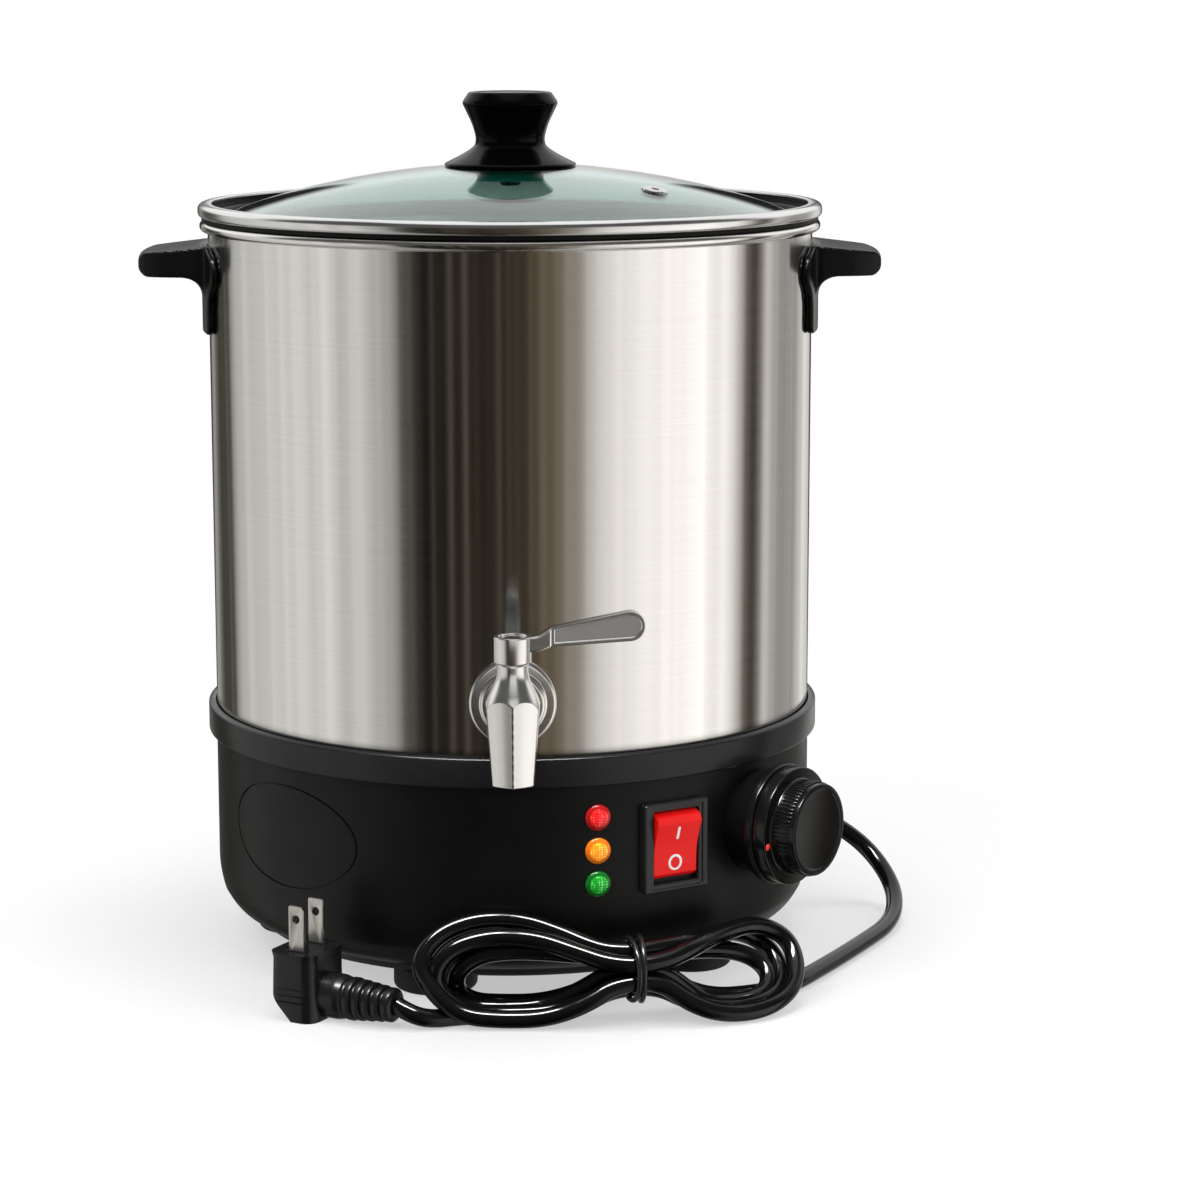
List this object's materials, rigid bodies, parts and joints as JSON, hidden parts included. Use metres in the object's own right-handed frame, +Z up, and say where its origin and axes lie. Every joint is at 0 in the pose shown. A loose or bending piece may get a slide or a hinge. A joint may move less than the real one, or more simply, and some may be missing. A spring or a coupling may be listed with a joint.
{
  "type": "candle wax melter",
  "caption": "Electric wax melting pot: a steel tank on a heater base, with a lever tap, a glass lid, side handles, indicator lamps, a rocker switch, a heat dial and a mains cord.",
  "frame": {"origin": "on the surface that the feet stand on, under the tank's axis", "axes": "+Z up along the tank's axis, -Y the front with the tap, +X the viewer's right"},
  "size_m": [0.2939, 0.2776, 0.3243],
  "materials": {
    "steel_brushed": "horizontally brushed stainless steel",
    "steel_band": "finely brushed stainless steel band",
    "steel_plain": "plain stamped steel",
    "zinc_screws": "zinc-plated steel",
    "stainless_screws": "bright stainless screw",
    "housing_black": "fine satin black plastic",
    "cover_black": "matt black plastic",
    "collar_black": "satin black plastic",
    "foot_rubber": "matt black rubber",
    "plate_aluminium": "cast aluminium",
    "element_steel": "oxide-grey sheathed heating tube",
    "ceramic_white": "white ceramic",
    "brass": "bright brass",
    "copper_capillary": "copper bulb and capillary tube",
    "lens_red": "clear red lens with a dotted pattern",
    "lens_amber": "clear amber lens with a dotted pattern",
    "lens_green": "clear green lens with a dotted pattern",
    "lamp_body_black": "black lamp holder",
    "switch_black": "black switch frame",
    "switch_red": "bright red rocker with white marks",
    "dial_black": "satin black knob with a red dot",
    "plinth_black": "satin black plastic",
    "thermostat_grey": "zinc-plated thermostat case",
    "shaft_steel": "turned steel shaft",
    "tap_steel": "satin polished stainless steel",
    "tap_lever_steel": "satin stainless steel with a grey panel let into each side",
    "silicone_clear": "white silicone washer",
    "valve_white": "white valve plug",
    "handle_black": "satin black moulded handle",
    "lid_glass": "clear tempered glass, faintly green at its rim",
    "gasket_black": "black silicone seal",
    "knob_black": "satin black knob",
    "cord_black": "black mains cord",
    "cord_tie_white": "plastic-covered wire tie",
    "plug_black": "moulded black plug",
    "blade_metal": "nickel-plated brass blades"
  },
  "bodies": {
    "melter": {"foot_pads": "foot_rubber", "cover_screws": "zinc_screws", "bottom_cover": "cover_black", "base_housing": "housing_black", "collar_ring": "collar_black", "tank": "steel_brushed", "heating_plate": "plate_aluminium", "heating_element": "element_steel", "heat_shield": "steel_plain", "spacer_sleeve": "steel_plain", "clamp_bar": "steel_plain", "tank_stud": "steel_plain", "stud_washer": "steel_plain", "earth_tag": "brass", "stud_nut": "zinc_screws", "thermal_cutout": "ceramic_white", "sensing_bulb": "copper_capillary", "terminal_block": "ceramic_white", "lamp_lens_red": "lens_red", "lamp_lens_amber": "lens_amber", "lamp_lens_green": "lens_green", "lamp_bodies": "lamp_body_black", "switch_frame": "switch_black", "switch_tabs": "brass", "rocker_pin": "shaft_steel", "dial_plinth": "plinth_black", "thermostat_body": "thermostat_grey", "thermostat_nut": "zinc_screws", "tap_flange": "tap_steel", "tap_body": "tap_steel", "tap_washer": "silicone_clear", "tap_nut": "tap_steel", "handle_right": "handle_black", "handle_left": "handle_black", "handle_screws": "stainless_screws", "cord_gland": "cord_black", "cord_lead": "cord_black", "cord_hank": "cord_black", "cord_tail": "cord_black", "cord_tie": "cord_tie_white", "plug_body": "plug_black", "plug_blades": "blade_metal", "plug_strain_relief": "plug_black"},
    "lid": {"lid_glass": "lid_glass", "lid_band": "steel_band", "lid_gasket": "gasket_black", "vent_eyelet": "steel_band", "lid_knob": "knob_black", "knob_washer": "gasket_black", "knob_screw": "stainless_screws"},
    "tap_handle": {"tap_lever": "tap_lever_steel", "tap_plug": "valve_white", "lever_screw": "tap_steel"},
    "rocker": {"switch_rocker": "switch_red"},
    "dial": {"dial_knob": "dial_black", "thermostat_shaft": "shaft_steel"}
  },
  "joints": [
    {"name": "lid_lift", "type": "slide", "parent": "melter", "child": "lid", "axis": [0, 0, 1], "range_m": [0, 0.15]},
    {"name": "tap_turn", "type": "hinge", "parent": "melter", "child": "tap_handle", "pos_m": [0, -0.15, 0.12], "axis": [0, 0, 1], "range_deg": [-90, 0]},
    {"name": "power_rocker", "type": "hinge", "parent": "melter", "child": "rocker", "pos_m": [0.05792, -0.09912, 0.0578], "axis": [-0.8634, -0.5045, 0], "range_deg": [0, 21]},
    {"name": "dial_turn", "type": "hinge", "parent": "melter", "child": "dial", "pos_m": [0.10008, -0.07819, 0.06], "axis": [0.788, -0.6157, 0], "range_deg": [-270, 0]}
  ]
}
